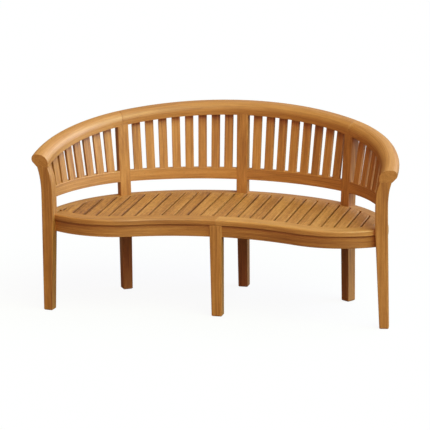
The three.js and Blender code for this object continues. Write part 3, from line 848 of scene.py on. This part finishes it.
def saw_off(rail, side):
    """Saws an arm off, a hair proud of its front post."""
    x, y, _ = back_line(side * POST_ALONG)
    splay = side * math.radians(POST_SPLAY)
    ahead = side * Vector((math.cos(splay), -math.sin(splay), 0))
    with editing(rail, "EDGE"):
        bpy.ops.mesh.select_all(action="SELECT")
        bpy.ops.mesh.bisect(plane_co=Vector((x, y, 0)) + ahead * (POST_WIDTH / 2 + PROUD),
                            plane_no=ahead, clear_outer=True, use_fill=True)
        bpy.ops.mesh.remove_doubles(threshold=SAWN_CORNER)
        bpy.ops.mesh.bevel(offset=SAWN_EDGE, segments=3, affect="EDGES")


def top_rail(name, from_along, to_along, side):
    rail = moulding(name + "_moulding", from_along, to_along)
    with editing(rail):
        pick_edges(rail, lengthwise)
        bpy.ops.mesh.subdivide(number_cuts=round((to_along - from_along) / STATION))
    round_edges(rail, SEAM, 1)
    write_grain(rail)
    lower_to_arms(rail)
    bend(rail, back_jig)
    if side:
        saw_off(rail, side)
    hand_over(rail, "top_rail_teak", name, material=RAIL_TEAK)


beyond = RAIL_REACH + POST_WIDTH
top_rail("top_rail_left_arm", -beyond, -SHOULDER_ALONG - SEAM / 2, -1)
top_rail("top_rail_crest", -SHOULDER_ALONG + SEAM / 2, SHOULDER_ALONG - SEAM / 2, 0)
top_rail("top_rail_right_arm", SHOULDER_ALONG + SEAM / 2, beyond, 1)
print("top rail:", [(piece.name, len(piece.data.polygons)) for piece in made_pieces[-3:]])

# %% [markdown]
# Below the slats a lower rail stands between each pair of legs. It is a plain board on edge that
# leans back with the slats, so its top is shifted outwards before it is bent. It runs a little
# way into the legs, as its tenon does.

# %% Lower back rails
LOWER_HEIGHT = 0.488
LOWER_TALL = 0.049
LOWER_THICK = 0.024
LOWER_ACROSS = -0.017
LOWER_TILT = 0.005
INTO_LEG = 0.006
BACK_PLACES = {
    "left_arm": (-POST_ALONG, -SHOULDER_ALONG),
    "left": (-SHOULDER_ALONG, 0),
    "right": (0, SHOULDER_ALONG),
    "right_arm": (SHOULDER_ALONG, POST_ALONG),
}


def half_leg(along):
    return (POST_WIDTH if abs(along) == POST_ALONG else LEG_WIDTH) / 2


def between_legs(where):
    low, high = BACK_PLACES[where]
    return low + half_leg(low) - INTO_LEG, high - half_leg(high) + INTO_LEG


def lower_rail(where):
    low, high = between_legs(where)
    rail = straight_board("lower_rail_" + where, low, high, LOWER_ACROSS, LOWER_HEIGHT,
                          LOWER_THICK, LOWER_TALL)
    shift_by(rail, "Y", LOWER_TILT, lambda co: (co.z - LOWER_HEIGHT) / LOWER_TALL)
    bend(rail, back_jig)
    hand_over(rail, "back_panel_teak", "back_panel_" + where)


for where in BACK_PLACES:
    lower_rail(where)
print("lower rails:", [piece.name for piece in made_pieces[-4:]])

# %% [markdown]
# Thirty slats fill the back. They are all the same stick, longer or shorter, so one master is
# made a metre long with its edges rounded, and each copy gets its own mesh, stretched between its
# foot on the lower rail and its head in the top rail. In the arms the slats are a little narrower
# and stand a little closer, and the last one stands closest to its neighbour.

# %% Master slats and where they stand
SLAT_THICK = 0.014
SLAT_EDGE = 0.0014
MASTER_TALL = 1
CROWN_SLAT = 0.037
CROWN_SLATS = 8
ARM_SLAT = 0.035
ARM_SLATS = 7
ARM_SLAT_SPACE = 0.017
ARM_LAST_SPACE = 0.012
ARM_SLAT_START = 0.0225


def master_slat(name, width):
    def upright(one, other):
        return abs(one.z - other.z) > MASTER_TALL / 2

    slat = box(name, (-width / 2, 0, 0), (width / 2, SLAT_THICK, MASTER_TALL))
    with editing(slat):
        pick_edges(slat, upright)
        bpy.ops.mesh.bevel(offset=SLAT_EDGE, segments=3, affect="EDGES")
        pick_edges(slat, upright)
        bpy.ops.mesh.subdivide(number_cuts=3)
    return slat


def slat_places(where):
    """How far along the back line the slats of a panel stand, from the middle outwards."""
    side = -1 if "left" in where else 1
    if "arm" in where:
        start = SHOULDER_ALONG + LEG_WIDTH / 2 + ARM_SLAT_START + ARM_SLAT / 2
        places = [start + number * (ARM_SLAT + ARM_SLAT_SPACE) for number in range(ARM_SLATS)]
        places[-1] -= ARM_SLAT_SPACE - ARM_LAST_SPACE
        return [side * place for place in places]
    start = LEG_WIDTH / 2
    pitch = (SHOULDER_ALONG - LEG_WIDTH + CROWN_SLAT) / (CROWN_SLATS + 1)
    return [side * (start - CROWN_SLAT / 2 + (number + 1) * pitch) for number in range(CROWN_SLATS)]


masters = {
    "arm": master_slat("arm_slat_master", ARM_SLAT),
    "crown": master_slat("crown_slat_master", CROWN_SLAT),
}
print("an arm has its slats at", [round(place, 3) for place in slat_places("right_arm")])

# %% [markdown]
# A slat leans back from the lower rail to the top rail. Its tenons run 12 mm into both. The lean
# is a shear, written as a matrix, because the shear operator needs a window.

# %% Back slats
SLAT_STEP = 0.0015
SLAT_TOP_ACROSS = 0.022
SLAT_TENON = 0.012


def leaning(low_across, high_across, along, bottom):
    """A shear that leans a slat back and lifts it to its foot."""
    rise = rail_height(along) - LOWER_HEIGHT - LOWER_TALL
    lean = (high_across - low_across) / rise
    return Matrix((
        (1, 0, 0, 0),
        (0, 1, lean, low_across - lean * SLAT_TENON),
        (0, 0, 1, bottom),
        (0, 0, 0, 1),
    ))


def back_slat(name, master, where, along):
    slat = master.copy()
    slat.data = master.data.copy()
    slat.name = name
    bpy.context.scene.collection.objects.link(slat)
    bottom = LOWER_HEIGHT + LOWER_TALL - SLAT_TENON
    top = rail_height(along) + SLAT_TENON
    slat.data.transform(Matrix.Diagonal((1, 1, top - bottom, 1)))
    write_grain(slat, "Z")
    low_across = LOWER_ACROSS + LOWER_TILT + SLAT_STEP
    lean_back = leaning(low_across, rail_across(along) + SLAT_TOP_ACROSS, along, bottom)
    x, y, heading = back_line(along)
    stand_up = Matrix.Translation((x, y, 0)) @ Matrix.Rotation(-heading, 4, "Z")
    slat.data.transform(stand_up @ lean_back)
    hand_over(slat, "back_panel_teak", "back_panel_" + where, material=SLAT_TEAK)


for where in BACK_PLACES:
    master = masters["arm" if "arm" in where else "crown"]
    for number, along in enumerate(slat_places(where), 1):
        back_slat(f"back_slat_{where}_{number}", master, where, along)
for master in masters.values():
    bpy.data.objects.remove(master)
print("back slats:", len([piece for piece in made_pieces if piece.name.startswith("back_slat")]))

# %% [markdown]
# Behind, the seat is closed by strips between the back legs, with an apron on edge under each.
# The strips are nearly as wide as the legs. Strips and aprons draw in towards the narrower front
# posts, so their outer side is shifted in over the arms before they are bent.

# %% Rear seat strips and aprons
STRIP_INNER = -0.022
STRIP_WIDTH = 0.045
APRON_INNER = -0.009
APRON_THICK = 0.025
APRON_TALL = 0.052
FIT = 0.0003
UNDER_BOARD = SEAT_HEIGHT - BOARD_THICK - FIT
SMALL_EDGE = 0.0018
DRAW_IN_POWER = 3


def draw_in(board, inner, outer):
    """Draws the outer side in towards the front posts."""
    def weight(co):
        near_post = share_between(abs(co.x), SHOULDER_ALONG, POST_ALONG) ** DRAW_IN_POWER
        return near_post * (co.y - inner) / (outer - inner)
    shift_by(board, "Y", POST_OUTER - outer, weight)


def rear_board(name, where, inner, width, bottom, tall, slot):
    low, high = between_legs(where)
    board = straight_board(name + "_board", low, high, inner, bottom, width, tall, SMALL_EDGE)
    draw_in(board, inner, inner + width)
    bend(board, back_jig)
    hand_over(board, slot, name)


for where in BACK_PLACES:
    rear_board("rear_seat_strip_" + where, where, STRIP_INNER, STRIP_WIDTH,
               SEAT_HEIGHT - BOARD_THICK, BOARD_THICK, "seat_edge_teak")
    rear_board("rear_apron_" + where, where, APRON_INNER, APRON_THICK,
               UNDER_BOARD - APRON_TALL, APRON_TALL, "apron_teak")
print("rear boards:", [piece.name for piece in made_pieces[-8:]])

# %% [markdown]
# Behind the posts the front boards stop against the rear strips, and the seat slats end there and
# at the front boards. Wide strips bent on the two lines serve as saws: a Boolean takes their
# shape off the wood, a hair more than the neighbour needs.

# %% Two bent saws
BOARD_WIDTH = 0.066
SAW_WIDTH = 0.3
SAW_SPARE = 0.01


def saw(name, on, reach, inner, outer):
    """A wide bent strip whose shape is taken off other boards."""
    blade = box(name, (-reach, inner, SEAT_HEIGHT - BOARD_THICK - SAW_SPARE),
                (reach, outer, SEAT_HEIGHT + SAW_SPARE))
    with editing(blade):
        pick_edges(blade, lengthwise)
        bpy.ops.mesh.subdivide(number_cuts=round(2 * reach / STATION))
    return bend(blade, on)


def cut_with(piece, blade):
    use_modifier(piece, "BOOLEAN", operation="DIFFERENCE", object=blade, solver="EXACT")


rear_saw = saw("rear_saw", back_jig, BACK_JIG_REACH, STRIP_INNER - FIT, STRIP_INNER + SAW_WIDTH)
front_saw = saw("front_saw", front_jig, FRONT_REACH, -SAW_WIDTH, BOARD_WIDTH + FIT)
print("saws:", [len(blade.data.polygons) for blade in (rear_saw, front_saw)], "faces")

# %% [markdown]
# The two front boards carry the bench's double curve. Their front edge is a bull nose, round
# above and nearly sharp below, so the two long front edges get a bevel each of their own.

# %% Front boards
NOSE = 0.008
UNDER_NOSE = 0.003
CRISP_EDGE = 0.001
SHORT_OF_LINE = 0.03


def front_edge_at(height):
    def wanted(one, other):
        in_front = max(one.y, other.y) < TINY
        at_height = abs(one.z - height) < TINY and abs(other.z - height) < TINY
        return lengthwise(one, other) and in_front and at_height
    return wanted


def front_board(where, low, high):
    board = box("front_board_" + where, (low, 0, SEAT_HEIGHT - BOARD_THICK),
                (high, BOARD_WIDTH, SEAT_HEIGHT))
    with editing(board):
        pick_edges(board, front_edge_at(SEAT_HEIGHT))
        bpy.ops.mesh.bevel(offset=NOSE, segments=6, affect="EDGES")
        pick_edges(board, front_edge_at(SEAT_HEIGHT - BOARD_THICK))
        bpy.ops.mesh.bevel(offset=UNDER_NOSE, segments=3, affect="EDGES")
        pick_edges(board, lengthwise)
        bpy.ops.mesh.subdivide(number_cuts=round((high - low) / STATION))
    round_edges(board, CRISP_EDGE, 1)
    write_grain(board)
    bend(board, front_jig)
    cut_with(board, rear_saw)
    hand_over(board, "seat_edge_teak", "front_seat_board_" + where)


front_board("left", -FRONT_REACH + SHORT_OF_LINE, -FIT)
front_board("right", FIT, FRONT_REACH - SHORT_OF_LINE)
print("front boards:", [(piece.name, len(piece.data.polygons)) for piece in made_pieces[-2:]])

# %% [markdown]
# Under each front board an apron follows the same curve a little further back. It ends inside the
# post and against the middle leg.

# %% Front aprons
APRON_SETBACK = 0.008
APRON_END = 0.745


def front_apron(where, low, high):
    apron = straight_board("front_apron_board_" + where, low, high, APRON_SETBACK,
                           UNDER_BOARD - APRON_TALL, APRON_THICK, APRON_TALL, SMALL_EDGE)
    bend(apron, front_jig)
    hand_over(apron, "apron_teak", "front_apron_" + where)


front_apron("left", -APRON_END, -MIDDLE_LEG[0] / 2 + INTO_LEG)
front_apron("right", MIDDLE_LEG[0] / 2 - INTO_LEG, APRON_END)
print("front aprons:", [piece.name for piece in made_pieces[-2:]])

# %% [markdown]
# The seat slats run from front to back. Each is planed as a straight plank, a little longer than
# its place, and then sawn off with the two bent blades, so that its ends follow the boards round
# them. The fresh ends are eased less than the long edges. A slat's sides and underside are
# painted browner than its top, as painted shade in the gaps between the slats. The planks are also
# painted browner towards the left end of the seat and paler towards the right, as painted light
# and shade that even out the shadow which the right arm casts on the seat.

# %% Seat slats
SEAT_SLATS_A_SIDE = 13
SLAT_SPARE = 0.02
SEAT_SLAT_EDGE = 0.003
SEAT_SLAT_END = 0.0014
# Painted shade in the gaps: how much browner a slat's sides and underside are, and how far below
# its top that starts.
GAP_SHADE = 0.8
GAP_SHADE_BEGINS = SEAT_SLAT_EDGE / 10
# Painted light and shade across the seat: how much paler the planks grow for each metre towards the
# right.
SEAT_PAINTED_LIGHT = 1.1


def paint_shading(piece, amount, below=math.inf):
    """Paints shade into a piece by making it browner, all over or only below a height; a negative
    amount paints light by making it paler.
    """
    tone = piece.data.attributes["tone"]
    for vertex in piece.data.vertices:
        if vertex.co.z < below:
            tone.data[vertex.index].value += amount


def seat_slat(node):
    low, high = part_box(node)
    plank = box(node + "_plank", (low.x, low.y - SLAT_SPARE, low.z),
                (high.x, high.y + SLAT_SPARE, high.z))
    round_edges(plank, SEAT_SLAT_EDGE)
    cut_with(plank, front_saw)
    cut_with(plank, rear_saw)
    round_edges(plank, SEAT_SLAT_END, 2)
    write_grain(plank, "Y")
    # Painted light and shade: planks to the left are made browner and planks to the right paler, to
    # even out the right arm's shadow on the seat.
    paint_shading(plank, -SEAT_PAINTED_LIGHT * (low.x + high.x) / 2)
    # Painted shade: the slat's sides and underside are made browner, because the gaps between slats
    # lie in shade.
    paint_shading(plank, GAP_SHADE, below=high.z - GAP_SHADE_BEGINS)
    hand_over(plank, "seat_slat_teak", node, material=SEAT_TEAK)


slat_nodes = ["seat_slat_middle"]
for number in range(1, SEAT_SLATS_A_SIDE + 1):
    slat_nodes += [f"seat_slat_left_{number}", f"seat_slat_right_{number}"]
for node in slat_nodes:
    seat_slat(node)
for spent in (rear_saw, front_saw, back_jig, front_jig):
    bpy.data.objects.remove(spent)
print("seat slats:", len(slat_nodes))

# %% [markdown]
# The bearers under the seat keep the shapes of the construction. They are sawn, not planed, and
# nobody sees more of them than their undersides, so they get the browner and rougher teak.

# %% Bearers
bearers = [node for name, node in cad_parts.items() if "bearer" in name]
for node in bearers:
    node.data.materials.clear()
    node.data.materials.append(SAWN_TEAK)
print("bearers in sawn teak:", len(bearers))

# %% [markdown]
# The camera stands where the photograph's did: far away with a long lens, fourteen degrees to the
# right of the front and about as much above the horizon, turned a little on its axis.

# %% Camera
AZIMUTH = 14.21
ELEVATION = 14.54
ROLL = 0.83
DISTANCE = 14.608
LENS = 282.4
AIM = Vector((0, 0.004, 0.4))
SHIFT = (-0.0335, -0.0072)
CLIP = (0.1, 200)


def towards(azimuth, elevation):
    """The direction so many degrees round to the right of the front, and up."""
    turn, rise = math.radians(azimuth), math.radians(elevation)
    level = math.cos(rise)
    return Vector((math.sin(turn) * level, -math.cos(turn) * level, math.sin(rise)))


back = towards(AZIMUTH, ELEVATION)
right = Vector((math.cos(math.radians(AZIMUTH)), math.sin(math.radians(AZIMUTH)), 0))
up = back.cross(right)
roll = math.radians(ROLL)
image_right = right * math.cos(roll) - up * math.sin(roll)
image_up = right * math.sin(roll) + up * math.cos(roll)
facing = Matrix((image_right, image_up, back)).transposed().to_4x4()

camera_data = bpy.data.cameras.new("photo_camera")
camera = bpy.data.objects.new("photo_camera", camera_data)
bpy.context.scene.collection.objects.link(camera)
camera.matrix_world = Matrix.Translation(AIM + back * DISTANCE) @ facing
camera_data.lens = LENS
camera_data.shift_x, camera_data.shift_y = SHIFT
camera_data.clip_start, camera_data.clip_end = CLIP
bpy.context.scene.camera = camera
bpy.context.scene.view_settings.view_transform = "Standard"
print("the camera is", round(camera.location.length, 2), "m away")

# %% [markdown]
# The photograph is lit by large soft lights from the front, the right and behind the right, with
# hardly anything from the left. Sun lamps with wide discs give such light, the same over the
# whole bench. In the photograph the lit sides of the wood are paler and the shaded ones more
# orange than one white lamp makes them, so the lamps are tinted: greenish and blue where they
# only strike lit sides, warm where they fill. Each lamp has its degrees round to the right, its
# degrees up, its strength, the degrees that its disc spans, and its colour.

# %% Lamps
LAMPS = {
    "front": (10, 30, 0.85, 60, (1.0, 0.45, 0.32)),
    "key": (50, 50, 2.9, 50, (0.72, 1.0, 0.59)),
    "side": (100, 30, 3.5, 50, (0.38, 0.57, 0.88)),
    "rim": (150, 40, 0.9, 60, (0.70, 0.76, 1.0)),
}


def lamp(name, azimuth, elevation, strength, disc, colour):
    """A sun from a direction, with a disc so many degrees wide."""
    data = bpy.data.lights.new(name, "SUN")
    data.energy = strength
    data.angle = math.radians(disc)
    data.color = colour
    made = bpy.data.objects.new(name, data)
    bpy.context.scene.collection.objects.link(made)
    made.rotation_mode = "QUATERNION"
    made.rotation_quaternion = towards(azimuth, elevation).to_track_quat("Z", "Y")


for name, settings in LAMPS.items():
    lamp(name, *settings)
print("lamps:", list(LAMPS))

# %% [markdown]
# A dim warm room does the rest. It is a world that grows darker from above towards the floor. The
# camera doesn't see the room but a pale backdrop instead, which lights nothing.

# %% The room
FILL = 0.27
FILL_COLOUR = (1.0, 0.63, 0.48)
LOW_FILL = 0.25
DARK_BELOW = -0.05
FULL_ABOVE = 0.4

studio = bpy.data.worlds.new("studio")
bpy.context.scene.world = studio
room = Recipe(studio)
direction = room.node("ShaderNodeTexCoord", output="Generated")
height = room.node("ShaderNodeSeparateXYZ", inputs={0: direction}, output="Z")
strength = room.node("ShaderNodeMapRange", inputs={
    "Value": height, "From Min": DARK_BELOW, "From Max": FULL_ABOVE,
    "To Min": FILL * LOW_FILL, "To Max": FILL})
warm_air = room.node("ShaderNodeBackground", inputs={
    "Color": (*FILL_COLOUR, 1), "Strength": strength})
backdrop = room.node("ShaderNodeBackground", inputs={"Strength": 1.0})
seen = room.node("ShaderNodeLightPath", output="Is Camera Ray")
look = room.node("ShaderNodeMixShader", inputs={0: seen, 1: warm_air, 2: backdrop})
room.finish(look, "ShaderNodeOutputWorld")
print("the room's light is mixed from", len(studio.node_tree.nodes), "nodes")

# %% [markdown]
# The floor looks white to the camera and keeps a faint shadow, but it throws little light up at
# the bench: only the camera's rays see its glow and its white paint, and all others meet a dim
# warm paint.

# %% Floor
FLOOR_SIZE = 120
FLOOR_DROP = 0.0005
FLOOR_BOUNCE = (0.18, 0.13, 0.09)
FLOOR_PAINT = (0.8, 0.8, 0.8)
FLOOR_GLOW = 0.92

pale = Recipe(bpy.data.materials.new("pale_floor"))
seen = pale.node("ShaderNodeLightPath", output="Is Camera Ray")
dim_paint = pale.node("ShaderNodeBsdfDiffuse", inputs={"Color": (*FLOOR_BOUNCE, 1)})
white_paint = pale.node("ShaderNodeBsdfDiffuse", inputs={"Color": (*FLOOR_PAINT, 1)})
glow = pale.node("ShaderNodeEmission", inputs={"Color": (1, 1, 1, 1), "Strength": 1.0})
seen_floor = pale.node("ShaderNodeMixShader", inputs={0: FLOOR_GLOW, 1: white_paint, 2: glow})
floor_look = pale.node("ShaderNodeMixShader", inputs={0: seen, 1: dim_paint, 2: seen_floor})

bpy.ops.mesh.primitive_plane_add(size=FLOOR_SIZE, location=(0, 0, -FLOOR_DROP))
floor = bpy.context.object
floor.name = "floor"
floor.data.materials.append(pale.finish(floor_look))
print("the floor is", FLOOR_SIZE, "m wide")
